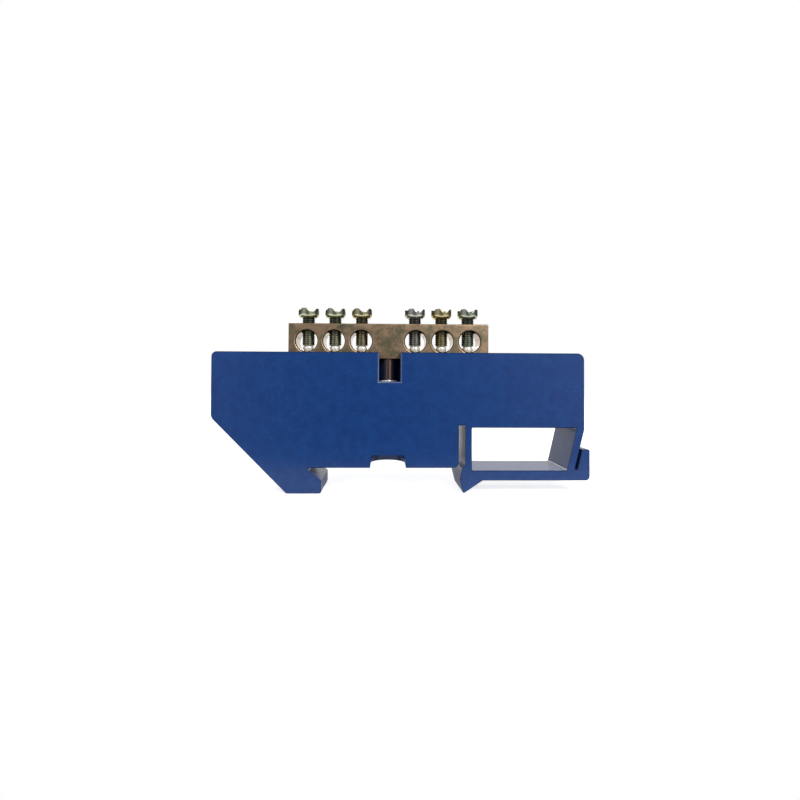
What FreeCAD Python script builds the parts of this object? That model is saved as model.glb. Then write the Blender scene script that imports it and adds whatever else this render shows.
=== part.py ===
import FreeCAD, Part
import math
import os
from FreeCAD import Vector

# Neutral terminal bar on a holder for a 35 mm rail.
# Millimetres. X runs along the bar, Y runs from the front face to the back face, Z is up.
# The origin is on the rail seat, on the axis of the fixing screw, halfway through the thickness.

# Rail
rail_width = 35.0
rail_thickness = 1.0

# Holder, body
holder_thickness = 12.0
body_reach_left = 40.75
body_reach_right = 45.85
shoulder_radius_left = 1.2
shoulder_radius_right = 1.6
slant_angle = 45.0
slant_start_radius = 2.0
edge_break = 0.18
inner_corner = 0.3
outer_corner = 0.5

# Holder, fixed rail hook at the left
foot_depth = 5.9
foot_length = 8.0
hook_corner_x = -18.3
hook_lip_height = 0.75
hook_reach = 2.95
hook_undercut_angle = 35.0

# Holder, spring latch at the right
seat_short_of_rail = 0.65
seat_end_radius = 1.3
latch_slot_width = 1.5
latch_slot_top = 9.85
latch_arm_thickness = 1.55
latch_clearance = 0.14
tooth_step_height = -0.1
tooth_bite = 0.42
tooth_grip_depth = 1.75
tooth_nose_to_tip = 0.85
tooth_tip_radius = 0.2
tooth_tip_to_heel = 4.55
strip_top = -0.58
strip_thickness = 2.32
window_top = 9.3
web_root_thickness = 1.86
web_foot_thickness = 1.84
web_lean = 13.1
web_meets_side = 8.9
lug_overhang = 1.25
lug_top = 4.35
lug_corner_radius = 1.0
pry_slot_width = 0.72
pry_slot_floor = -0.45

# Holder, groove for the bar and pocket for the fixing screw
bar_bed_height = 25.36
groove_depth = 1.39
bar_side_clearance = 0.15
pocket_width = 4.95
pocket_centre_x = 0.32
pocket_depth = 5.41
head_recess_ceiling = 2.94
head_recess_width = 8.3
head_recess_draft = 0.35

# Terminal bar
bar_thickness = 6.0
bar_height = 8.4
bar_centre_x = 0.1
bar_edge_round = 0.25
hole_pitch = 6.5
holes_each_side = 3
last_hole_to_bar_end = 4.4
wire_hole_diameter = 5.1

# Clamp screws
clamp_thread_diameter = 3.0
clamp_head_diameter = 4.95
clamp_head_height = 1.75
clamp_cone_height = 0.4
clamp_nose_height = 1.2
clamp_nose_diameter = 1.5
clamp_tip_over_hole_floor = 0.15
clamp_gap_over_bar = 1.65
clamp_slot_turns = (25.0, 17.0, 14.0, 20.0, 18.0, 10.0)
cross_width_top = 2.7
cross_width_bottom = 0.8
cross_depth_flare = 0.85
cross_depth = 1.25

# Fixing screw
fixing_thread_diameter = 4.0
fixing_end_below_top = 0.8
fixing_head_diameter = 7.6
fixing_head_angle = 90.0
fixing_head_land = 0.35
fixing_hole_diameter = 4.4
fixing_cross_width = 1.1
fixing_cross_reach = 2.3
fixing_cross_depth = 1.4

# Clearances of the screws, on the radius
thread_clearance = 0.03
head_seat_clearance = 0.05

front = -holder_thickness / 2
back = holder_thickness / 2
bar_length = 2 * (holes_each_side * hole_pitch + last_hole_to_bar_end)
seat_to_top = bar_bed_height + groove_depth
pocket_floor = bar_bed_height - pocket_depth
bar_top = bar_bed_height + bar_height
bar_middle = bar_bed_height + bar_height / 2
overrun = 1.0

# The rail's left edge stops where its lower corner meets the undercut of the hook.
undercut_slope = math.tan(math.radians(hook_undercut_angle))
rail_left = hook_corner_x + (rail_thickness - hook_lip_height) / undercut_slope
rail_right = rail_left + rail_width


def rounded_wire(corners, y):
    """Closed wire in the plane of that y, from (x, z, corner radius) rows, with tangent arcs."""
    edges = []
    last = None
    first = None
    count = len(corners)
    for index in range(count):
        x, z, radius = corners[index]
        here = Vector(x, y, z)
        before = Vector(corners[index - 1][0], y, corners[index - 1][1])
        after = Vector(corners[(index + 1) % count][0], y, corners[(index + 1) % count][1])
        towards_before = (before - here).normalize()
        towards_after = (after - here).normalize()
        if radius > 0:
            half = towards_before.getAngle(towards_after) / 2
            setback = radius / math.tan(half)
            bisector = (towards_before + towards_after).normalize()
            start = here + towards_before * setback
            end = here + towards_after * setback
            middle = here + bisector * (radius / math.sin(half) - radius)
            corner_edges = [Part.Arc(start, middle, end).toShape()]
        else:
            start = here
            end = here
            corner_edges = []
        if last is None:
            first = start
        else:
            edges.append(Part.LineSegment(last, start).toShape())
        edges.extend(corner_edges)
        last = end
    edges.append(Part.LineSegment(last, first).toShape())
    return Part.Wire(edges)


def upright_cylinder(diameter, bottom, top, x=0.0):
    """Cylinder on a vertical axis in the middle of the thickness."""
    return Part.makeCylinder(diameter / 2, top - bottom, Vector(x, 0, bottom))


def keyhole_wire(half_width, z, centre_x):
    """U-shaped wire at one height: open-ended past the front face, half round about the screw."""
    mouth = front - overrun
    left_mouth = Vector(centre_x - half_width, mouth, z)
    left = Vector(centre_x - half_width, 0, z)
    end = Vector(centre_x, half_width, z)
    right = Vector(centre_x + half_width, 0, z)
    right_mouth = Vector(centre_x + half_width, mouth, z)
    return Part.Wire([
        Part.LineSegment(left_mouth, left).toShape(),
        Part.Arc(left, end, right).toShape(),
        Part.LineSegment(right, right_mouth).toShape(),
        Part.LineSegment(right_mouth, left_mouth).toShape(),
    ])


def holder_outline():
    """Corners of the moulding seen from the front, counter-clockwise from the upper left."""
    foot = -foot_depth
    hook_nose_x = hook_corner_x + hook_reach
    hook_nose_z = -hook_lip_height - hook_reach * undercut_slope
    slant_foot_x = hook_nose_x - foot_length
    slant_start_z = foot + (slant_foot_x + body_reach_left) * math.tan(math.radians(slant_angle))
    slot_left = rail_right - seat_short_of_rail
    arm_left = slot_left + latch_slot_width
    tooth_step_x = rail_right + latch_clearance
    tooth_nose_x = rail_right - tooth_bite
    tooth_nose_z = -rail_thickness - tooth_grip_depth
    tooth_tip_x = tooth_nose_x + tooth_nose_to_tip
    strip_bottom = strip_top - strip_thickness
    web_foot_x = window_right(strip_top) + web_foot_thickness
    web_side_lean = (body_reach_right - web_foot_x) / (web_meets_side - pry_slot_floor)
    lug_side_x = web_foot_x + pry_slot_width
    lug_side_top_x = lug_side_x + (lug_top - pry_slot_floor) * web_side_lean
    lug_right = body_reach_right + lug_overhang
    return [
        (-body_reach_left, seat_to_top, shoulder_radius_left),
        (-body_reach_left, slant_start_z, slant_start_radius),
        (slant_foot_x, foot, outer_corner),
        (hook_nose_x, foot, outer_corner),
        (hook_nose_x, hook_nose_z, outer_corner),
        (hook_corner_x, -hook_lip_height, inner_corner),
        (hook_corner_x, 0.0, inner_corner),
        (slot_left, 0.0, seat_end_radius),
        (slot_left, latch_slot_top, inner_corner),
        (arm_left, latch_slot_top, inner_corner),
        (arm_left, tooth_step_height + arm_left - tooth_step_x, inner_corner),
        (tooth_step_x, tooth_step_height, outer_corner),
        (tooth_nose_x, tooth_nose_z, outer_corner),
        (tooth_tip_x, foot, tooth_tip_radius),
        (tooth_tip_x + tooth_tip_to_heel, strip_bottom, outer_corner),
        (lug_right, strip_bottom, lug_corner_radius),
        (lug_right, lug_top, outer_corner),
        (lug_side_top_x, lug_top, inner_corner),
        (lug_side_x, pry_slot_floor, inner_corner),
        (web_foot_x, pry_slot_floor, inner_corner),
        (body_reach_right, web_meets_side, lug_corner_radius),
        (body_reach_right, seat_to_top, shoulder_radius_right),
    ]


def window_right(z):
    """Inner face of the slanted web at that height."""
    root = body_reach_right - web_root_thickness
    return root - (window_top - z) * math.tan(math.radians(web_lean))


def latch_window():
    """Corners of the window between the arm, the web and the strip."""
    window_left = rail_right - seat_short_of_rail + latch_slot_width + latch_arm_thickness
    return [
        (window_left, strip_top, inner_corner),
        (window_right(strip_top), strip_top, outer_corner),
        (window_right(window_top), window_top, inner_corner),
        (window_left, window_top, inner_corner),
    ]


def flat_face_edges(shape):
    """Edges of the moulding that lie in its front or back face."""
    found = []
    for edge in shape.Edges:
        box = edge.BoundBox
        for plane in (front, back):
            if abs(box.YMin - plane) < 1e-6 and abs(box.YMax - plane) < 1e-6:
                found.append(edge)
    return found


def make_holder():
    """Blue moulding: body, rail hook and spring latch in one piece."""
    outline = Part.Face(rounded_wire(holder_outline(), front))
    window = Part.Face(rounded_wire(latch_window(), front))
    body = outline.cut(window).extrude(Vector(0, holder_thickness, 0))
    body = body.makeChamfer(edge_break, flat_face_edges(body))

    groove_width = bar_thickness + 2 * bar_side_clearance
    groove_length = body_reach_left + body_reach_right + 2 * overrun
    groove = Part.makeBox(
        groove_length, groove_width, seat_to_top - bar_bed_height + overrun,
        Vector(-body_reach_left - overrun, -groove_width / 2, bar_bed_height))

    pocket_plan = Part.Face(keyhole_wire(pocket_width / 2, pocket_floor, pocket_centre_x))
    pocket = pocket_plan.extrude(Vector(0, 0, seat_to_top - pocket_floor + overrun))

    recess_top = keyhole_wire(head_recess_width / 2 - head_recess_draft, head_recess_ceiling, 0.0)
    recess_bottom = keyhole_wire(head_recess_width / 2, 0.0, 0.0)
    recess = Part.makeLoft([recess_bottom, recess_top], True)

    passage = upright_cylinder(fixing_hole_diameter, -overrun, pocket_floor + overrun)
    return body.cut([groove, pocket, recess, passage, countersink(head_seat_clearance)])


def countersink(clearance):
    """Cone and land of the fixing screw's head, drawn up from the recess ceiling."""
    head_radius = fixing_head_diameter / 2 + clearance
    thread_radius = fixing_thread_diameter / 2 + clearance
    cone_height = (head_radius - thread_radius) / math.tan(math.radians(fixing_head_angle / 2))
    land_top = head_recess_ceiling + fixing_head_land
    profile = Part.makePolygon([
        Vector(0, 0, head_recess_ceiling),
        Vector(head_radius, 0, head_recess_ceiling),
        Vector(head_radius, 0, land_top),
        Vector(thread_radius, 0, land_top + cone_height),
        Vector(0, 0, land_top + cone_height),
        Vector(0, 0, head_recess_ceiling),
    ])
    return Part.Face(profile).revolve(Vector(0, 0, 0), Vector(0, 0, 1), 360)


def hole_positions():
    """Distances of the wire holes from the middle: the same number on each side of the screw."""
    steps = range(1, holes_each_side + 1)
    return [-hole_pitch * step for step in reversed(steps)] + [hole_pitch * step for step in steps]


def make_terminal_bar():
    """Brass bar with its wire holes across and its tapped holes down."""
    bar = Part.makeBox(
        bar_length, bar_thickness, bar_height,
        Vector(bar_centre_x - bar_length / 2, -bar_thickness / 2, bar_bed_height))
    along = [edge for edge in bar.Edges if edge.BoundBox.XLength > bar_length / 2]
    bar = bar.makeFillet(bar_edge_round, along)

    cutters = []
    for x in hole_positions():
        cutters.append(Part.makeCylinder(
            wire_hole_diameter / 2, bar_thickness + 2 * overrun,
            Vector(x, -bar_thickness / 2 - overrun, bar_middle), Vector(0, 1, 0)))
        cutters.append(tapped_hole(x, clamp_thread_diameter, bar_middle, bar_top))
    cutters.append(tapped_hole(0.0, fixing_thread_diameter, bar_bed_height - overrun, bar_top))
    return bar.cut(cutters)


def tapped_hole(x, thread_diameter, bottom, top):
    """Hole for a screw thread, drawn at the thread's outer diameter."""
    return upright_cylinder(thread_diameter + 2 * thread_clearance, bottom, top + overrun, x)


def cross_arm(x, top, turn):
    """One arm of a flared cross slot that runs right across a screw head."""
    half_top = cross_width_top / 2
    half_bottom = cross_width_bottom / 2
    reach = clamp_head_diameter
    profile = Part.makePolygon([
        Vector(x - reach, -half_bottom, top - cross_depth),
        Vector(x - reach, half_bottom, top - cross_depth),
        Vector(x - reach, half_bottom, top - cross_depth_flare),
        Vector(x - reach, half_top, top),
        Vector(x - reach, half_top, top + overrun),
        Vector(x - reach, -half_top, top + overrun),
        Vector(x - reach, -half_top, top),
        Vector(x - reach, -half_bottom, top - cross_depth_flare),
        Vector(x - reach, -half_bottom, top - cross_depth),
    ])
    arm = Part.Face(profile).extrude(Vector(2 * reach, 0, 0))
    arm.rotate(Vector(x, 0, top), Vector(0, 0, 1), turn)
    return arm


def make_clamp_screw(x, turn):
    """Clamp screw as it stands in the bar, with its cross slot turned by that angle."""
    neck_z = bar_top + clamp_gap_over_bar
    head_bottom = neck_z + clamp_cone_height
    head_top = head_bottom + clamp_head_height
    thread_radius = clamp_thread_diameter / 2
    head_radius = clamp_head_diameter / 2
    nose_radius = clamp_nose_diameter / 2
    tip_z = bar_middle - wire_hole_diameter / 2 + clamp_tip_over_hole_floor
    nose_z = tip_z + clamp_nose_height
    profile = Part.makePolygon([
        Vector(x, 0, tip_z),
        Vector(x + nose_radius, 0, tip_z),
        Vector(x + thread_radius, 0, nose_z),
        Vector(x + thread_radius, 0, neck_z),
        Vector(x + head_radius, 0, head_bottom),
        Vector(x + head_radius, 0, head_top),
        Vector(x, 0, head_top),
        Vector(x, 0, tip_z),
    ])
    screw = Part.Face(profile).revolve(Vector(x, 0, 0), Vector(0, 0, 1), 360)
    return screw.cut([cross_arm(x, head_top, turn), cross_arm(x, head_top, turn + 90.0)])


def make_fixing_screw():
    """Long screw from the rail side: sunk head, shank through the pocket, thread in the bar."""
    tip_z = bar_top - fixing_end_below_top
    shank = upright_cylinder(fixing_thread_diameter, head_recess_ceiling, tip_z)
    screw = shank.fuse(countersink(0.0)).removeSplitter()
    slots = []
    for turn in (0.0, 90.0):
        slot = Part.makeBox(
            2 * fixing_cross_reach, fixing_cross_width, fixing_cross_depth + overrun,
            Vector(-fixing_cross_reach, -fixing_cross_width / 2, head_recess_ceiling - overrun))
        slot.rotate(Vector(0, 0, 0), Vector(0, 0, 1), turn)
        slots.append(slot)
    return screw.cut(slots)


def write(name, shape):
    """Write one node, as one solid."""
    shape.Solids[0].exportStep("parts/" + name + ".step")


os.makedirs("parts", exist_ok=True)
write("din_holder", make_holder())
write("terminal_bar", make_terminal_bar())
write("fixing_screw", make_fixing_screw())
for number, (position, turn) in enumerate(zip(hole_positions(), clamp_slot_turns), start=1):
    write("clamp_screw_" + str(number), make_clamp_screw(position, turn))
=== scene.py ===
"""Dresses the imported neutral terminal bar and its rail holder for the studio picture.

Metres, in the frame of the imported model: X runs along the bar, Y from the front face to the back
face and Z up from the rail seat.
"""

import logging
import math
from collections.abc import Callable
from dataclasses import dataclass, replace
from enum import Enum, IntEnum
from typing import Any

import bmesh
import bpy
from mathutils import Matrix, Vector


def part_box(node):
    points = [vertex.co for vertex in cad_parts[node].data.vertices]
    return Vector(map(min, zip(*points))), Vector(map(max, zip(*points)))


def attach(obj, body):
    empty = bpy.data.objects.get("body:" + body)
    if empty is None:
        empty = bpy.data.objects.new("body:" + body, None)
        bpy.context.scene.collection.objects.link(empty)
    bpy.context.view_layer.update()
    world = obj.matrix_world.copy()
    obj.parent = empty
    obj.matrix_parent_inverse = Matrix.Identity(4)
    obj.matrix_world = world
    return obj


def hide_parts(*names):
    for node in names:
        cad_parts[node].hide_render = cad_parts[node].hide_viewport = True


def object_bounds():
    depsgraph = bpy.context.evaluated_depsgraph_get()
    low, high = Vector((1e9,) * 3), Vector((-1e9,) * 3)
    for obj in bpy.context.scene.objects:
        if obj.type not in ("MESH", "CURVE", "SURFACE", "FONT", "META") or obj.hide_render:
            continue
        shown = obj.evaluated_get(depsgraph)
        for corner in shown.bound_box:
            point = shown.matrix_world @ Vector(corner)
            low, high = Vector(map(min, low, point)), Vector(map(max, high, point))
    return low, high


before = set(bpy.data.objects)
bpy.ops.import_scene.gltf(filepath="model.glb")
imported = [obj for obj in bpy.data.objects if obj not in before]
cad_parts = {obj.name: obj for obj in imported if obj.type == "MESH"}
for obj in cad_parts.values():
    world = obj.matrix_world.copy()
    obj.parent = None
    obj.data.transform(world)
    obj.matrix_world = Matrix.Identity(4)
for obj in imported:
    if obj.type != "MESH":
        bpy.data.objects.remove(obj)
CAD_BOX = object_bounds()

MM = 0.001
PICTURE_PX = 800
SENSOR_MM = 36.0
WHITE = (1.0, 1.0, 1.0, 1.0)
# Most values of a noise lie in this span.
NOISE_SPAN = (0.3, 0.7)
# Points nearer than this become one: in a copied node, in a turned solid and in a thread.
NODE_MERGE = 0.002 * MM
TURNED_MERGE = 0.0005 * MM
THREAD_MERGE = 0.001 * MM
# Faces of a copied node that differ by less than this angle become one.
FLAT_ANGLE = math.radians(0.3)
# What lies this near to a cutting plane is in it.
CUT_REACH = 1e-7
# A place this near to a level or to a plane is on it.
LEVEL_REACH = 0.01 * MM
# A face whose normal has more than this share along an axis faces along it, and one whose normal
# has less than the second share of up or down is upright.
FACING = 0.9
UPRIGHT = 0.05
LOG = logging.getLogger("terminal_bar")


def linear(colour: str) -> tuple[float, float, float, float]:
    """Turn an sRGB hex colour into the linear RGBA that shaders take.

    Args:
        colour: six hex digits after a hash.

    Returns:
        Red, green, blue and an alpha of one.
    """
    digits = colour.lstrip("#")
    channels = [int(digits[i:i + 2], 16) / 255 for i in (0, 2, 4)]
    curve = [c / 12.92 if c <= 0.04045 else ((c + 0.055) / 1.055) ** 2.4 for c in channels]
    return (curve[0], curve[1], curve[2], 1.0)


def shaded(colour: str, share: float) -> str:
    """Darken an sRGB hex colour to a share of its values."""
    digits = colour.lstrip("#")
    return "#" + "".join(f"{round(int(digits[i:i + 2], 16) * share):02x}" for i in (0, 2, 4))


def add_node(tree: bpy.types.NodeTree, kind: str, inputs: dict[Any, Any] | None = None,
             **settings: Any) -> bpy.types.Node:
    """Add one node, with its settings, values and links.

    Args:
        tree: node tree of a material or of the world.
        kind: Blender's name of the node type.
        inputs: socket name or number to a value, or to the output socket that feeds it.
        settings: attributes of the node itself.

    Returns:
        The new node.
    """
    node = tree.nodes.new(kind)
    for name, value in settings.items():
        setattr(node, name, value)
    for key, value in (inputs or {}).items():
        if isinstance(value, bpy.types.NodeSocket):
            tree.links.new(value, node.inputs[key])
        else:
            node.inputs[key].default_value = value
    return node


def empty_material(name: str) -> bpy.types.Material:
    """Make a material that uses nodes and has none yet.

    Args:
        name: name of the material.

    Returns:
        The new material.
    """
    material = bpy.data.materials.new(name)
    material.use_nodes = True
    material.node_tree.nodes.clear()
    return material


def object_millimetres(
        tree: bpy.types.NodeTree,
        stretch: tuple[float, float, float] = (1, 1, 1)) -> bpy.types.NodeSocket:
    """Give object coordinates in millimetres.

    Args:
        tree: node tree of the material.
        stretch: factor on each axis; a small one draws the pattern out along it.

    Returns:
        The output socket with the coordinates.
    """
    place = add_node(tree, "ShaderNodeTexCoord")
    mapping = add_node(tree, "ShaderNodeMapping", {
        "Vector": place.outputs["Object"], "Scale": [factor / MM for factor in stretch]})
    return mapping.outputs["Vector"]


def noise(tree: bpy.types.NodeTree, place: bpy.types.NodeSocket, size_mm: float,
          detail: float = 3.0, roughness: float = 0.6) -> bpy.types.NodeSocket:
    """Add a noise whose blotches are about that many millimetres across.

    Args:
        tree: node tree of the material.
        place: coordinates in millimetres.
        size_mm: size of the blotches.
        detail: how many finer layers it has.
        roughness: strength of the finer layers.

    Returns:
        The noise's value, from 0 to 1.
    """
    node = add_node(tree, "ShaderNodeTexNoise", {
        "Vector": place, "Scale": 1 / size_mm, "Detail": detail, "Roughness": roughness})
    return node.outputs["Fac"]


def remap(tree: bpy.types.NodeTree, value: bpy.types.NodeSocket, source: tuple[float, float],
          target: tuple[float, float]) -> bpy.types.NodeSocket:
    """Stretch a value from one range to another, and hold it there."""
    node = add_node(tree, "ShaderNodeMapRange", {
        "Value": value, "From Min": source[0], "From Max": source[1],
        "To Min": target[0], "To Max": target[1]})
    return node.outputs["Result"]


def uneven(tree: bpy.types.NodeTree, value: bpy.types.NodeSocket, level: float,
           spread: tuple[float, float]) -> bpy.types.NodeSocket:
    """Let a roughness follow a noise, by that spread below and above its level."""
    return remap(tree, value, NOISE_SPAN, (level + spread[0], level + spread[1]))


def mixed(tree: bpy.types.NodeTree, factor: Any, first: Any, second: Any
          ) -> bpy.types.NodeSocket:
    """Mix two colours, each a linear colour or an output socket."""
    # Input sockets 6 and 7 and output socket 2 are the node's colours.
    node = add_node(tree, "ShaderNodeMix", {0: factor, 6: first, 7: second}, data_type="RGBA")
    return node.outputs[2]


def ramp(tree: bpy.types.NodeTree, value: bpy.types.NodeSocket,
         stops: list[tuple[float, tuple[float, float, float, float]]]) -> bpy.types.NodeSocket:
    """Turn a value into a colour through a ramp.

    Args:
        tree: node tree of a material or of the world.
        value: the value, from 0 to 1.
        stops: place on the ramp and linear colour of each stop, from low to high.

    Returns:
        The output socket with the colour.
    """
    node = add_node(tree, "ShaderNodeValToRGB", {"Fac": value})
    elements = node.color_ramp.elements
    elements[0].position = stops[0][0]
    elements[1].position = stops[-1][0]
    for place, _ in stops[1:-1]:
        elements.new(place)
    for element, (_, colour) in zip(elements, stops):
        element.color = colour
    return node.outputs["Color"]


class Corner(Enum):
    """Least angle between two faces that meet in a hard edge."""

    MOULDED = math.radians(40.0)
    MACHINED = math.radians(35.0)


class HolderFace(IntEnum):
    """Material numbers of the holder's faces."""

    MOULDED = 0
    HIGHLIT_RIM = 1
    BROKEN = 2


class BarFace(IntEnum):
    """Material numbers of the bar's faces."""

    DRAWN = 0
    DRILLED = 1
    SAWN = 2
    SUNK = 3
    HIGHLIT_RIM = 4


class ScrewFace(IntEnum):
    """Material numbers of a clamp screw's faces."""

    FILM = 0
    WORN = 1
    POLISHED_HIGHLIT = 2
    DEEP_SHADE = 3


class FixingFace(IntEnum):
    """Material numbers of the fixing screw's faces."""

    PLATED = 0
    POLISHED_HIGHLIT = 1


@dataclass(frozen=True)
class MouldedPolyamide:
    """Blue polyamide moulded in a polished tool: semi-gloss, with faint flow tones and scuffs."""

    name: str = "moulded_blue_polyamide"
    colour: str = "#10336b"
    paler: str = "#143c77"
    scuff: str = "#5f80a8"
    roughness: float = 0.2
    ior: float = 1.53
    roughness_spread: tuple[float, float] = (-0.03, 0.08)
    # Moulded-in tones change over some 3 mm, and lie in the middle of the noise's values.
    drift_mm: float = 3.0
    drift_span: tuple[float, float] = (0.38, 0.62)
    # The skin ripples over 2.5 mm. Its grain is finer than 0.3 mm, and drawn as coarse as shows.
    ripple_mm: float = 2.5
    ripple_depth_mm: float = 0.02
    grain_mm: float = 0.3
    grain_depth_mm: float = 0.008
    # Scuffs are rare short specks under half a millimetre wide, drawn out along the bar.
    speck_mm: float = 0.45
    speck_stretch: tuple[float, float, float] = (0.6, 1.0, 1.4)
    speck_span: tuple[float, float] = (0.72, 0.80)
    speck_share: float = 0.35

    def build(self) -> bpy.types.Material:
        """Build the material.

        Returns:
            The new material.
        """
        material = empty_material(self.name)
        tree = material.node_tree
        place = object_millimetres(tree)
        flow = noise(tree, place, self.drift_mm, detail=5.0, roughness=0.8)
        drift = remap(tree, flow, self.drift_span, (0.0, 1.0))
        tone = mixed(tree, drift, linear(self.colour), linear(self.paler))
        lying = object_millimetres(tree, self.speck_stretch)
        specks = noise(tree, lying, self.speck_mm, detail=2.0)
        speck = remap(tree, specks, self.speck_span, (0.0, self.speck_share))
        worn = mixed(tree, speck, tone, linear(self.scuff))
        ripple = noise(tree, place, self.ripple_mm)
        swell = add_node(tree, "ShaderNodeBump", {
            "Height": ripple, "Strength": 0.35, "Distance": self.ripple_depth_mm * MM})
        grain = noise(tree, place, self.grain_mm, detail=4.0, roughness=0.65)
        bump = add_node(tree, "ShaderNodeBump", {
            "Height": grain, "Strength": 0.25, "Distance": self.grain_depth_mm * MM,
            "Normal": swell.outputs["Normal"]})
        rough = uneven(tree, grain, self.roughness, self.roughness_spread)
        shader = add_node(tree, "ShaderNodeBsdfPrincipled", {
            "Base Color": worn, "Roughness": rough, "Normal": bump.outputs["Normal"],
            "IOR": self.ior})
        add_node(tree, "ShaderNodeOutputMaterial", {"Surface": shader.outputs["BSDF"]})
        return material


@dataclass(frozen=True)
class Brass:
    """Brass, dull from handling, stained greenish and pinkish, with the marks of how it was cut."""

    name: str
    colour: str
    greenish: str
    pinkish: str
    roughness: float
    # Cutting marks run along the axes whose factor here is small. They are drawn as coarse as
    # shows, some tenths of a millimetre apart.
    marks: tuple[float, float, float]
    marks_mm: float
    marks_depth_mm: float
    roughness_spread: tuple[float, float] = (-0.07, 0.09)
    # Stains are up to some millimetres across, and broken up finely.
    stain_mm: float = 3.5
    # Where on the noise the greenish, the plain and the pinkish tone stand.
    stain_stops: tuple[float, float, float] = (0.42, 0.5, 0.58)

    def build(self) -> bpy.types.Material:
        """Build the material.

        Returns:
            The new material.
        """
        material = empty_material(self.name)
        tree = material.node_tree
        stain = noise(tree, object_millimetres(tree), self.stain_mm, detail=6.0, roughness=0.85)
        tones = (linear(self.greenish), linear(self.colour), linear(self.pinkish))
        tone = ramp(tree, stain, list(zip(self.stain_stops, tones)))
        marks = noise(tree, object_millimetres(tree, self.marks), self.marks_mm)
        bump = add_node(tree, "ShaderNodeBump", {
            "Height": marks, "Strength": 0.6, "Distance": self.marks_depth_mm * MM})
        rough = uneven(tree, stain, self.roughness, self.roughness_spread)
        shader = add_node(tree, "ShaderNodeBsdfPrincipled", {
            "Base Color": tone, "Roughness": rough, "Normal": bump.outputs["Normal"],
            "Metallic": 1.0})
        add_node(tree, "ShaderNodeOutputMaterial", {"Surface": shader.outputs["BSDF"]})
        return material


@dataclass(frozen=True)
class PlatedSteel:
    """Plated steel: a pale film over metal, with darker, rougher copies that paint shade."""

    name: str
    colour: str
    stain: str
    roughness: float = 0.2
    metallic: float = 1.0
    roughness_spread: tuple[float, float] = (-0.05, 0.1)
    # The film's tone changes over parts of a millimetre.
    stain_mm: float = 0.7
    # Marks run along the axes whose factor here is small. With equal factors the film is bumpy.
    marks: tuple[float, float, float] = (1.0, 1.0, 1.0)
    marks_mm: float = 0.7
    marks_depth_mm: float = 0.02
    # A copy that paints shade is rougher than the film.
    shaded_copy_roughness: float = 0.3

    def shaded_copy(self, state: str, share: float) -> "PlatedSteel":
        """Give a darker copy of the film, with that share of its brightness, as painted shade."""
        return replace(self, name=f"{self.name}_{state}", colour=shaded(self.colour, share),
                       stain=shaded(self.stain, share), roughness=self.shaded_copy_roughness)

    def build(self) -> bpy.types.Material:
        """Build the material.

        Returns:
            The new material.
        """
        material = empty_material(self.name)
        tree = material.node_tree
        film = noise(tree, object_millimetres(tree), self.stain_mm)
        tone = mixed(tree, film, linear(self.colour), linear(self.stain))
        rough = uneven(tree, film, self.roughness, self.roughness_spread)
        marks = noise(tree, object_millimetres(tree, self.marks), self.marks_mm)
        bump = add_node(tree, "ShaderNodeBump", {
            "Height": marks, "Strength": 0.2, "Distance": self.marks_depth_mm * MM})
        shader = add_node(tree, "ShaderNodeBsdfPrincipled", {
            "Base Color": tone, "Roughness": rough, "Normal": bump.outputs["Normal"],
            "Metallic": self.metallic})
        add_node(tree, "ShaderNodeOutputMaterial", {"Surface": shader.outputs["BSDF"]})
        return material


def copied_node(node: str) -> bmesh.types.BMesh:
    """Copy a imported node's mesh with its loose triangles joined into whole faces.

    Args:
        node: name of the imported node.

    Returns:
        A bmesh whose flat faces are single faces.
    """
    copy = bmesh.new()
    copy.from_mesh(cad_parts[node].data)
    bmesh.ops.remove_doubles(copy, verts=copy.verts, dist=NODE_MERGE)
    bmesh.ops.dissolve_limit(copy, angle_limit=FLAT_ANGLE, use_dissolve_boundaries=False,
                             verts=copy.verts, edges=copy.edges)
    return copy


def soften(mesh: bmesh.types.BMesh, size: float, steps: int,
           chosen: Callable[[Vector], bool], number: int | None = None) -> None:
    """Round hard edges of a mesh, or chamfer them with one step.

    Args:
        mesh: the mesh, changed in place.
        size: width of the rounding to each side.
        steps: faces across the rounding.
        chosen: test that both ends of an edge have to pass.
        number: material number of the rounding, or none to keep its neighbours'.
    """
    hard = [edge for edge in mesh.edges if len(edge.link_faces) == 2
            and edge.calc_face_angle(0.0) > Corner.MACHINED.value
            and all(chosen(vert.co) for vert in edge.verts)]
    new = bmesh.ops.bevel(
        mesh, geom=hard, offset=size, offset_type="OFFSET", segments=steps, profile=0.5,
        affect="EDGES", material=-1, clamp_overlap=False)
    if number is not None:
        for face in new["faces"]:
            face.material_index = number


def cut_off(mesh: bmesh.types.BMesh, height: float, side: float) -> None:
    """Cut a mesh at a height and close it there.

    Args:
        mesh: the mesh, changed in place.
        height: height of the cut.
        side: 1 takes off what lies above the cut, and -1 what lies below it.
    """
    bmesh.ops.bisect_plane(
        mesh, geom=mesh.verts[:] + mesh.edges[:] + mesh.faces[:], dist=CUT_REACH,
        plane_co=(0.0, 0.0, height), plane_no=(0.0, 0.0, side), clear_outer=True)
    bmesh.ops.holes_fill(mesh, edges=[edge for edge in mesh.edges if edge.is_boundary], sides=0)


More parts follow.
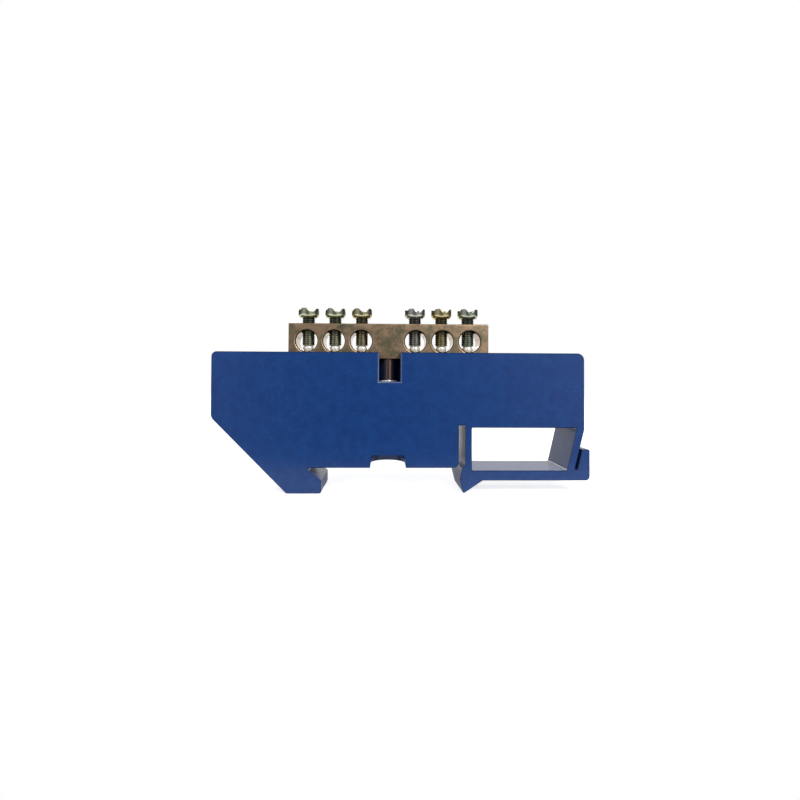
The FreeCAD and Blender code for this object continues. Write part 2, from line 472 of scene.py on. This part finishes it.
def spun(x: float, outline: list[tuple[float, float]], steps: int) -> bmesh.types.BMesh:
    """Turn a closed solid from half its section.

    Args:
        x: place of the upright axis.
        outline: radius and height of each corner. It starts and ends on the axis.
        steps: divisions of the full turn.

    Returns:
        A closed mesh.
    """
    solid = bmesh.new()
    points = [solid.verts.new((x + radius, 0.0, height)) for radius, height in outline]
    line = [solid.edges.new(pair) for pair in zip(points, points[1:])]
    bmesh.ops.spin(solid, geom=points + line, cent=(x, 0.0, 0.0), axis=(0.0, 0.0, 1.0),
                   angle=2 * math.pi, steps=steps, use_merge=True, use_duplicate=False)
    bmesh.ops.remove_doubles(solid, verts=solid.verts, dist=TURNED_MERGE)
    bmesh.ops.recalc_face_normals(solid, faces=solid.faces)
    return solid


def joined(parts: list[bmesh.types.BMesh], numbers: list[int]) -> bmesh.types.BMesh:
    """Put several closed meshes into one.

    Args:
        parts: the meshes, which are freed.
        numbers: what is added to the material numbers of each.

    Returns:
        One mesh that holds them all.
    """
    whole = bmesh.new()
    for part, number in zip(parts, numbers):
        for face in part.faces:
            face.material_index += number
        data = bpy.data.meshes.new("part")
        part.to_mesh(data)
        part.free()
        whole.from_mesh(data)
        bpy.data.meshes.remove(data)
    return whole


def finished(name: str, mesh: bmesh.types.BMesh, corner: Corner,
             materials: list[bpy.types.Material], node: str, body: str
             ) -> bpy.types.Object:
    """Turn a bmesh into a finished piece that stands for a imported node.

    Args:
        name: name of the piece.
        mesh: the finished mesh, which is freed.
        corner: which edges are shaded as edges.
        materials: the materials, in the order of the faces' material numbers.
        node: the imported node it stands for.
        body: the body it rides on.

    Returns:
        The new object, at the origin.
    """
    for face in mesh.faces:
        face.smooth = True
    for edge in mesh.edges:
        sharp = len(edge.link_faces) == 2 and edge.calc_face_angle(0.0) > corner.value
        edge.smooth = not sharp
    data = bpy.data.meshes.new(name)
    mesh.to_mesh(data)
    mesh.free()
    for material in materials:
        data.materials.append(material)
    piece = bpy.data.objects.new(name, data)
    bpy.context.scene.collection.objects.link(piece)
    weigh = piece.modifiers.new("face_weighted_normals", "WEIGHTED_NORMAL")
    weigh.keep_sharp = True
    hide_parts(node)
    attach(piece, body)
    LOG.info("%s: %d faces for %s", name, len(data.polygons), node)
    return piece


@dataclass
class Holder:
    """The blue moulding with its rail hook and spring latch, and a painted highlight on the notch's
    rim.
    """

    rim_round: float = 0.34 * MM
    rim_steps: int = 3
    # The notch's rim lies nearer to the holder's middle than this, and above this level.
    rim_reach: float = 3.0 * MM
    rim_level: float = 19.0 * MM
    # A broken edge leans between these shares of straight forward or straight back.
    broken_lean: tuple[float, float] = (0.6, 0.8)

    def build(self, polyamide: bpy.types.Material, highlit_rim: bpy.types.Material,
              broken: bpy.types.Material) -> bpy.types.Object:
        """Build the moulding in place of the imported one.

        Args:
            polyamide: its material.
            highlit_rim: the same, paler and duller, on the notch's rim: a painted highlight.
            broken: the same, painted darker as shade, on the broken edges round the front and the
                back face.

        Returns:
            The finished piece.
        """
        mesh = copied_node("din_holder")
        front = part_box("din_holder")[0].y
        # The broken edges round the front and the back face are painted darker, as shade.
        for face in mesh.faces:
            if self.broken_lean[0] < abs(face.normal.y) < self.broken_lean[1]:
                face.material_index = HolderFace.BROKEN

        def on_rim(place: Vector) -> bool:
            """Tell whether a place is on the notch's rim in the front face."""
            return (abs(place.x) < self.rim_reach and place.z > self.rim_level
                    and place.y < front + LEVEL_REACH)

        # The notch's rim is rounded, and painted paler as a highlight.
        soften(mesh, self.rim_round, self.rim_steps, on_rim, HolderFace.HIGHLIT_RIM)
        return finished("holder_moulding", mesh, Corner.MOULDED, [polyamide, highlit_rim, broken],
                        "din_holder", "holder_and_bar")


@dataclass
class Bar:
    """The brass bar: drawn and sawn faces, drilled holes, painted shade in the countersinks and
    highlight on their rims.
    """

    edge_round: float = 0.12 * MM
    edge_steps: int = 3
    sink: float = 0.3 * MM
    rim_round: float = 0.14 * MM
    rim_steps: int = 3
    # What is this far inside the bar's outline is in a hole or on its edge.
    margin: float = 0.3 * MM

    def build(self, drawn: bpy.types.Material, drilled: bpy.types.Material,
              sawn: bpy.types.Material, painted_shade_sink: bpy.types.Material, highlit_rim: bpy.types.Material
              ) -> bpy.types.Object:
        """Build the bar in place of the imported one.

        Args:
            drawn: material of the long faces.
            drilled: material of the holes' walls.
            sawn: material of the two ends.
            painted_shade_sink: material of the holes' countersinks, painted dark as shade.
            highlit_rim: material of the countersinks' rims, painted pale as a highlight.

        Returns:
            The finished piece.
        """
        mesh = copied_node("terminal_bar")
        low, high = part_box("terminal_bar")

        def inside(place: Vector, axes: str) -> bool:
            """Tell whether a place is well inside the bar's outline along each of those axes."""
            return all(getattr(low, axis) + self.margin < getattr(place, axis)
                       < getattr(high, axis) - self.margin for axis in axes)

        def flush(place: Vector) -> bool:
            """Tell whether a place lies in the front or the back face, well inside its outline."""
            off = min(abs(place.y - low.y), abs(place.y - high.y))
            return inside(place, "xz") and off < LEVEL_REACH

        for face in mesh.faces:
            if inside(face.calc_center_median(), "xyz"):
                face.material_index = BarFace.DRILLED
            elif abs(face.normal.x) > FACING:
                face.material_index = BarFace.SAWN
        # The countersinks are painted dark as shade, and their rounded rims pale as a highlight.
        soften(mesh, self.sink, 1, flush, BarFace.SUNK)
        soften(mesh, self.rim_round, self.rim_steps, flush, BarFace.HIGHLIT_RIM)
        soften(mesh, self.edge_round, self.edge_steps, lambda place: not inside(place, "xz"))
        return finished("brass_bar", mesh, Corner.MACHINED, [drawn, drilled, sawn, painted_shade_sink, highlit_rim],
                        "terminal_bar", "holder_and_bar")


@dataclass(frozen=True)
class Thread:
    """A metric thread's sizes, in metres."""

    diameter: float
    pitch: float
    steps: int = 36
    # The thread is rolled shallow and filled with oil: its depth as a share of the pitch.
    depth_share: float = 0.25
    # Where in one pitch the first flank ends, the crest ends and the second flank ends.
    profile: tuple[float, float, float] = (0.2, 0.65, 0.85)
    # Turns that are made beyond the two cuts.
    spare_turns: int = 3

    @property
    def core_radius(self) -> float:
        """Radius at the root of the thread."""
        return self.diameter / 2 - self.depth_share * self.pitch

    def cut(self, x: float, bottom: float, top: float) -> bmesh.types.BMesh:
        """Make a threaded rod with flat ends.

        Args:
            x: place of its axis.
            bottom: height of its lower end.
            top: height of its upper end.

        Returns:
            A closed mesh.
        """
        radii = (self.core_radius, self.diameter / 2, self.diameter / 2, self.core_radius)
        pattern = tuple(zip((0.0, *self.profile), radii))
        rod = bmesh.new()
        turns = math.ceil((top - bottom) / self.pitch) + self.spare_turns
        chain = []
        for turn in range(turns):
            for rise, radius in pattern:
                height = bottom + (turn - 1 + rise) * self.pitch
                chain.append(rod.verts.new((x + radius, 0.0, height)))
        line = [rod.edges.new(pair) for pair in zip(chain, chain[1:])]
        bmesh.ops.spin(
            rod, geom=chain + line, cent=(x, 0.0, 0.0), axis=(0.0, 0.0, 1.0), angle=2 * math.pi,
            dvec=(0.0, 0.0, self.pitch / self.steps), steps=self.steps, use_merge=False,
            use_duplicate=False)
        bmesh.ops.remove_doubles(rod, verts=rod.verts, dist=THREAD_MERGE)
        cut_off(rod, bottom, -1.0)
        cut_off(rod, top, 1.0)
        bmesh.ops.recalc_face_normals(rod, faces=rod.faces)
        return rod


@dataclass
class ClampScrew:
    """One clamp screw: cross-slotted head, threaded shank and a smooth rounded nose."""

    number: int
    film: PlatedSteel
    thread: Thread = Thread(diameter=2.98 * MM, pitch=0.5 * MM)
    head_height: float = 2.3 * MM
    head_steps: int = 64
    # The head is a bowl from the neck up to its full width, then upright to the slots' floor.
    # All above the bowl is painted darker, as shade.
    bowl_height: float = 0.85 * MM
    bowl_rings: int = 12
    base_height: float = 1.4 * MM
    # The slots' walls lie at least this far inside the head's side and below its top.
    slot_inset: float = 0.2 * MM
    slot_drop: float = 0.05 * MM
    edge_round: float = 0.08 * MM
    edge_steps: int = 2
    # How far a solid reaches into the next one on its axis, and stays inside its side.
    overlap: float = 0.2 * MM
    sunk_side: float = 0.02 * MM
    nose_height: float = 1.5 * MM
    nose_radius: float = 1.35 * MM
    nose_curve: float = 1.1 * MM
    nose_centre: float = 0.74 * MM
    nose_steps: int = 40
    nose_rings: int = 8
    # The nose's neck ends in the thread, and stays under its crests.
    nose_overlap: float = 0.1 * MM
    nose_inset: float = 0.08 * MM
    # The film's brightness left where shade is painted lightly, and where it is painted deep.
    worn_share: float = 0.6
    soiled_share: float = 0.33

    def build(self, polished: bpy.types.Material) -> bpy.types.Object:
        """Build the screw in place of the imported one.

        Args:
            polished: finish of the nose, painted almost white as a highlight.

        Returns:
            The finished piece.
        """
        node = f"clamp_screw_{self.number}"
        low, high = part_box(node)
        x = (low.x + high.x) / 2
        neck = high.z - self.head_height
        nose_top = low.z + self.nose_height
        full = (high.x - low.x) / 2
        nose = spun(x, self.nose_outline(low.z, nose_top), self.nose_steps)
        mesh = joined(
            [self.lobes(x, neck, full), self.bowl(x, neck, full),
             self.shank(x, nose_top, neck), nose],
            [ScrewFace.FILM, ScrewFace.FILM, ScrewFace.FILM, ScrewFace.POLISHED_HIGHLIT])
        # Two darker copies of the film paint shade: a light one and a deep one.
        materials = [self.film.build(), self.film.shaded_copy("worn", self.worn_share).build(),
                     polished, self.film.shaded_copy("soiled", self.soiled_share).build()]
        return finished(f"clamp_screw_dressed_{self.number}", mesh, Corner.MACHINED, materials,
                        node, f"screw_{self.number}")

    def lobes(self, x: float, neck: float, full: float) -> bmesh.types.BMesh:
        """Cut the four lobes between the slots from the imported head.

        Args:
            x: place of the screw's axis.
            neck: height of the head's lower end.
            full: the head's radius.

        Returns:
            A closed mesh.
        """
        node = f"clamp_screw_{self.number}"
        base = neck + self.base_height
        slot_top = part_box(node)[1].z - self.slot_drop
        mesh = copied_node(node)
        cut_off(mesh, base, -1.0)
        # Faces in the slots take the deep painted shade, the other faces the light one.
        for face in mesh.faces:
            place = face.calc_center_median()
            reach = math.hypot(place.x - x, place.y)
            in_slot = reach < full - self.slot_inset and place.z < slot_top
            face.material_index = ScrewFace.DEEP_SHADE if in_slot else ScrewFace.WORN
        soften(mesh, self.edge_round, self.edge_steps,
               lambda place: place.z > base + 2 * LEVEL_REACH)
        return mesh

    def bowl(self, x: float, neck: float, full: float) -> bmesh.types.BMesh:
        """Turn the head's base, from the neck to the slots' floor.

        Args:
            x: place of the screw's axis.
            neck: height of the head's lower end.
            full: the head's radius.

        Returns:
            A closed mesh.
        """
        inner = self.thread.diameter / 2 - self.sunk_side
        outline = [(0.0, neck)]
        for ring in range(self.bowl_rings + 1):
            turn = math.pi / 2 * ring / self.bowl_rings
            outline.append((inner + (full - inner) * math.sin(turn),
                            neck + self.bowl_height * (1 - math.cos(turn))))
        floor = neck + self.base_height
        mesh = spun(x, outline + [(full, floor), (0.0, floor)], self.head_steps)
        # The slots' floor takes the deep painted shade, the upright side the light one.
        for face in mesh.faces:
            if face.normal.z > FACING:
                face.material_index = ScrewFace.DEEP_SHADE
            elif face.normal.z > -UPRIGHT:
                face.material_index = ScrewFace.WORN
        return mesh

    def shank(self, x: float, bottom: float, neck: float) -> bmesh.types.BMesh:
        """Cut the threaded shank, painted darker as shade, and darkest on its neck above the bar.

        Args:
            x: place of the screw's axis.
            bottom: height of its lower end.
            neck: height of the head's lower end.

        Returns:
            A closed mesh.
        """
        mesh = self.thread.cut(x, bottom, neck + self.overlap)
        bar_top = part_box("terminal_bar")[1].z
        for face in mesh.faces:
            above = face.calc_center_median().z > bar_top
            face.material_index = ScrewFace.DEEP_SHADE if above else ScrewFace.WORN
        return mesh

    def nose_outline(self, tip: float, top: float) -> list[tuple[float, float]]:
        """Give half the nose's section: a small flat end, the ball, and a neck in the thread.

        Args:
            tip: height of the lower end.
            top: height of the thread's lower end.

        Returns:
            Radius and height of each corner.
        """
        outline = [(0.0, tip)]
        lowest = math.asin(self.nose_centre / self.nose_curve)
        for ring in range(2 * self.nose_rings + 1):
            turn = lowest * (ring / self.nose_rings - 1)
            outline.append((self.nose_radius * math.cos(turn),
                            tip + self.nose_centre + self.nose_curve * math.sin(turn)))
        inner = self.thread.diameter / 2 - self.nose_inset
        end = top + self.nose_overlap
        return outline + [(inner, end), (0.0, end)]


@dataclass
class FixingScrew:
    """The long screw from the rail side that holds the bar down."""

    thread: Thread = Thread(diameter=3.96 * MM, pitch=0.7 * MM, steps=48)
    # The thread starts just under the bar, a little inside the plain shank.
    plain_height: float = 22.0 * MM
    overlap: float = 0.1 * MM
    # A rolled collar closes the hole in the pocket's floor round the shank.
    collar_level: float = 19.93 * MM
    collar_height: float = 1.0 * MM
    collar_radius: float = 2.42 * MM
    collar_steps: int = 64
    collar_rings: int = 12
    sunk_side: float = 0.02 * MM

    def build(self, plating: bpy.types.Material, polished: bpy.types.Material) -> bpy.types.Object:
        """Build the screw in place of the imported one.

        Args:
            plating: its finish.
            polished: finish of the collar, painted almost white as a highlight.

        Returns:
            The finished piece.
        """
        low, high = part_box("fixing_screw")
        head = copied_node("fixing_screw")
        cut = low.z + self.plain_height
        cut_off(head, cut, 1.0)
        rod = self.thread.cut(0.0, cut - self.overlap, high.z)
        collar = spun(0.0, self.collar_outline(), self.collar_steps)
        mesh = joined([head, rod, collar],
                      [FixingFace.PLATED, FixingFace.PLATED, FixingFace.POLISHED_HIGHLIT])
        return finished("fixing_screw_dressed", mesh, Corner.MACHINED, [plating, polished],
                        "fixing_screw", "holder_and_bar")

    def collar_outline(self) -> list[tuple[float, float]]:
        """Give half the collar's section, which flares hollow from the shank to the floor.

        Returns:
            Radius and height of each corner.
        """
        inner = self.thread.diameter / 2 - self.sunk_side
        top = self.collar_level + self.collar_height
        outline = [(0.0, top)]
        for ring in range(self.collar_rings + 1):
            turn = math.pi / 2 * ring / self.collar_rings
            flare = (1 - math.cos(turn)) ** 2
            outline.append((inner + (self.collar_radius - inner) * flare,
                            top - self.collar_height * math.sin(turn)))
        return outline + [(0.0, self.collar_level)]


@dataclass(frozen=True)
class Softbox:
    """One square lamp, aimed at the middle of the object."""

    name: str
    place: tuple[float, float, float]
    size: float
    watts: float
    target: tuple[float, float, float] = (0.0, 0.0, 0.015)

    def hang(self) -> None:
        """Add the lamp to the scene."""
        light = bpy.data.lights.new(self.name, "AREA")
        light.shape = "SQUARE"
        light.size = self.size
        light.energy = self.watts
        lamp = bpy.data.objects.new(self.name, light)
        lamp.location = self.place
        aim = Vector(self.target) - Vector(self.place)
        lamp.rotation_euler = aim.to_track_quat("-Z", "Y").to_euler()
        bpy.context.scene.collection.objects.link(lamp)


@dataclass
class Studio:
    """Plain white studio: floor, room light, lamps and a camera at the picture's angle."""

    # The floor sheet ends a little in front of the object, whose front face doesn't mirror it so.
    floor_front: float = -36.0 * MM
    floor_size: float = 1.2
    floor_level: float = CAD_BOX[0][2]
    # What is added to its light for the camera, and for reflections.
    floor_lift: float = 0.72
    floor_shine: float = 0.08
    # The paper's two tones, and the size of its fibres.
    paper: tuple[str, str] = ("#ececec", "#f0f0f0")
    fibre_mm: float = 0.8
    # Where the room is darkest: past the camera, a little to the left.
    dark_side: tuple[float, float, float] = (-0.03, -0.998, -0.052)
    # Degrees from there, and the brightness of the room at that angle.
    room: tuple[tuple[float, float], ...] = (
        (180.0, 1.0), (155.0, 1.0), (145.0, 0.12), (86.0, 0.12), (78.0, 0.8), (37.0, 0.8),
        (29.0, 0.42), (21.0, 0.3), (13.0, 0.12), (0.0, 0.04))
    # The key light stands to the right in front, the fill to the left, and one behind.
    lamps: tuple[Softbox, ...] = (
        Softbox("key_softbox", (0.24, -0.44, 0.34), 0.22, 2.5),
        Softbox("fill_softbox", (-0.40, -0.40, 0.22), 0.35, 0.2),
        Softbox("back_softbox", (-0.16, 0.50, 0.30), 0.3, 1.2),
    )
    # The camera as the picture's edges fix it: pixels, metres and radians.
    focal_px: float = 427.43
    centre_px: tuple[float, float] = (392.95, 370.82)
    camera_place: tuple[float, float, float] = (-1.145 * MM, -104.938 * MM, 20.763 * MM)
    yaw: float = 0.022
    pitch: float = -0.017
    roll: float = 0.005

    def build(self) -> None:
        """Set up everything round the object."""
        bpy.context.scene.view_settings.view_transform = "Standard"
        self.lay_floor()
        self.light_room()
        for lamp in self.lamps:
            lamp.hang()
        self.place_camera()

    def lay_floor(self) -> None:
        """Lay the pale floor, which keeps the object's shadow and meets the white backdrop."""
        sheet = bmesh.new()
        half = self.floor_size / 2
        bmesh.ops.create_grid(sheet, x_segments=1, y_segments=1, size=half)
        bmesh.ops.translate(sheet, verts=sheet.verts,
                            vec=(0.0, self.floor_front + half, self.floor_level))
        data = bpy.data.meshes.new("studio_floor")
        sheet.to_mesh(data)
        sheet.free()
        data.materials.append(self.floor_paper())
        floor = bpy.data.objects.new("studio_floor", data)
        bpy.context.scene.collection.objects.link(floor)

    def floor_paper(self) -> bpy.types.Material:
        """Make white background paper, which the camera sees lifted to the backdrop's white.

        Returns:
            The new material.
        """
        material = empty_material("white_background_paper")
        tree = material.node_tree
        fibre = noise(tree, object_millimetres(tree), self.fibre_mm)
        paper = mixed(tree, fibre, linear(self.paper[0]), linear(self.paper[1]))
        diffuse = add_node(tree, "ShaderNodeBsdfDiffuse", {"Color": paper})
        rays = add_node(tree, "ShaderNodeLightPath")
        shine = add_node(tree, "ShaderNodeMath", {
            0: rays.outputs["Is Glossy Ray"], 1: self.floor_shine}, operation="MULTIPLY")
        lift = add_node(tree, "ShaderNodeMath", {
            0: rays.outputs["Is Camera Ray"], 1: self.floor_lift, 2: shine.outputs[0]},
            operation="MULTIPLY_ADD")
        glow = add_node(tree, "ShaderNodeEmission", {"Strength": lift.outputs[0]})
        both = add_node(tree, "ShaderNodeAddShader", {0: diffuse.outputs[0], 1: glow.outputs[0]})
        add_node(tree, "ShaderNodeOutputMaterial", {"Surface": both.outputs[0]})
        return material

    def light_room(self) -> None:
        """Light the room by direction, and show it white to the camera."""
        world = bpy.data.worlds.new("studio_room")
        bpy.context.scene.world = world
        world.use_nodes = True
        tree = world.node_tree
        tree.nodes.clear()
        direction = add_node(tree, "ShaderNodeTexCoord")
        turned = add_node(tree, "ShaderNodeVectorMath", {
            0: direction.outputs["Generated"], 1: self.dark_side}, operation="DOT_PRODUCT")
        share = remap(tree, turned.outputs["Value"], (-1.0, 1.0), (0.0, 1.0))
        stops = [((1 + math.cos(math.radians(degrees))) / 2, (level, level, level, 1.0))
                 for degrees, level in self.room]
        rays = add_node(tree, "ShaderNodeLightPath")
        seen = mixed(tree, rays.outputs["Is Camera Ray"], ramp(tree, share, stops), WHITE)
        sky = add_node(tree, "ShaderNodeBackground", {"Color": seen, "Strength": 1.0})
        add_node(tree, "ShaderNodeOutputWorld", {"Surface": sky.outputs[0]})

    def place_camera(self) -> None:
        """Place the camera at the picture's place, angle and lens."""
        turn = Matrix.Rotation(-self.yaw, 3, "Z")
        tilt = Matrix.Rotation(-self.pitch, 3, "X")
        lean = Matrix.Rotation(-self.roll, 3, "Y")
        # Blender's camera looks down its own -Z with +Y up.
        upright = Matrix(((1, 0, 0), (0, 0, -1), (0, 1, 0)))
        data = bpy.data.cameras.new("product_camera")
        data.sensor_width = SENSOR_MM
        data.lens = self.focal_px * SENSOR_MM / PICTURE_PX
        data.shift_x = (PICTURE_PX / 2 - self.centre_px[0]) / PICTURE_PX
        data.shift_y = (self.centre_px[1] - PICTURE_PX / 2) / PICTURE_PX
        data.clip_start = 1 * MM
        camera = bpy.data.objects.new("product_camera", data)
        stand = (turn @ tilt @ lean @ upright).to_4x4()
        camera.matrix_world = Matrix.Translation(self.camera_place) @ stand
        bpy.context.scene.collection.objects.link(camera)
        bpy.context.scene.camera = camera


def main() -> None:
    """Build every piece, the studio and the camera, and log each piece's face count."""
    logging.basicConfig(level=logging.INFO, format="%(name)s: %(message)s")
    # The notch's rim is painted paler and duller, as a highlight, and the broken edges darker, as
    # shade.
    painted_highlight_rim = MouldedPolyamide("highlight_painted_blue_polyamide", "#36486e", "#4a587c", roughness=0.35)
    painted_shade_edge = MouldedPolyamide("shade_painted_edge_polyamide", "#0a2450", "#0d2a58")
    Holder().build(MouldedPolyamide().build(), painted_highlight_rim.build(), painted_shade_edge.build())
    # Drawing marks run along the bar, drill marks round the holes and saw marks across the ends.
    # The countersinks are painted dark as shade, and their rims paler as a highlight.
    drawn = Brass("drawn_brass_stained", "#917c65", "#78725a", "#a1886f", roughness=0.4,
                  marks=(0.12, 1.0, 1.0), marks_mm=0.25, marks_depth_mm=0.02)
    drilled = Brass("drilled_brass", "#b8a488", "#ac9a7c", "#bca48c", roughness=0.14,
                    marks=(0.1, 1.0, 0.1), marks_mm=0.3, marks_depth_mm=0.004)
    sawn = Brass("sawn_brass", "#a08c72", "#988a70", "#a68c78", roughness=0.38,
                 marks=(1.0, 0.1, 1.0), marks_mm=0.2, marks_depth_mm=0.05)
    painted_shade_sink = Brass("shade_painted_countersunk_brass", "#30261c", "#2a2418", "#342620", roughness=0.25,
                 marks=(1.0, 1.0, 1.0), marks_mm=0.3, marks_depth_mm=0.01)
    highlit_rim = Brass("highlight_painted_brass", "#98846a", "#8e7e62", "#9c8670", roughness=0.42,
                   marks=(1.0, 1.0, 1.0), marks_mm=0.3, marks_depth_mm=0.01)
    Bar().build(drawn.build(), drilled.build(), sawn.build(), painted_shade_sink.build(), highlit_rim.build())
    # The polished nose and collar are painted almost white and only partly metal, as a highlight.
    polished = PlatedSteel("polished_highlight_painted_zinc", "#fafaf6", "#f4f4ee", roughness=0.1,
                           metallic=0.4).build()
    # The film of each clamp screw from left to right, and where it is stained.
    films = (("#eef3da", "#c6cfa8"), ("#ecf2d8", "#c8d0ac"), ("#f4f0cc", "#cdc28e"),
             ("#eef0ea", "#c8c9c5"), ("#f8eec0", "#d2bf84"), ("#e4eeda", "#b4c2aa"))
    for number, (colour, stain) in enumerate(films, 1):
        film = PlatedSteel(f"zinc_plate_{number}", colour, stain, roughness=0.16)
        ClampScrew(number, film).build(polished)
    # The fine rings of turning draw the light on the shank out into an upright streak.
    turned = PlatedSteel("bronze_plated_steel", "#c8b0a8", "#a07460", roughness=0.14,
                         marks=(0.05, 0.05, 1.0), marks_mm=0.15)
    FixingScrew().build(turned.build(), polished)
    Studio().build()


if __name__ == "__main__":
    main()
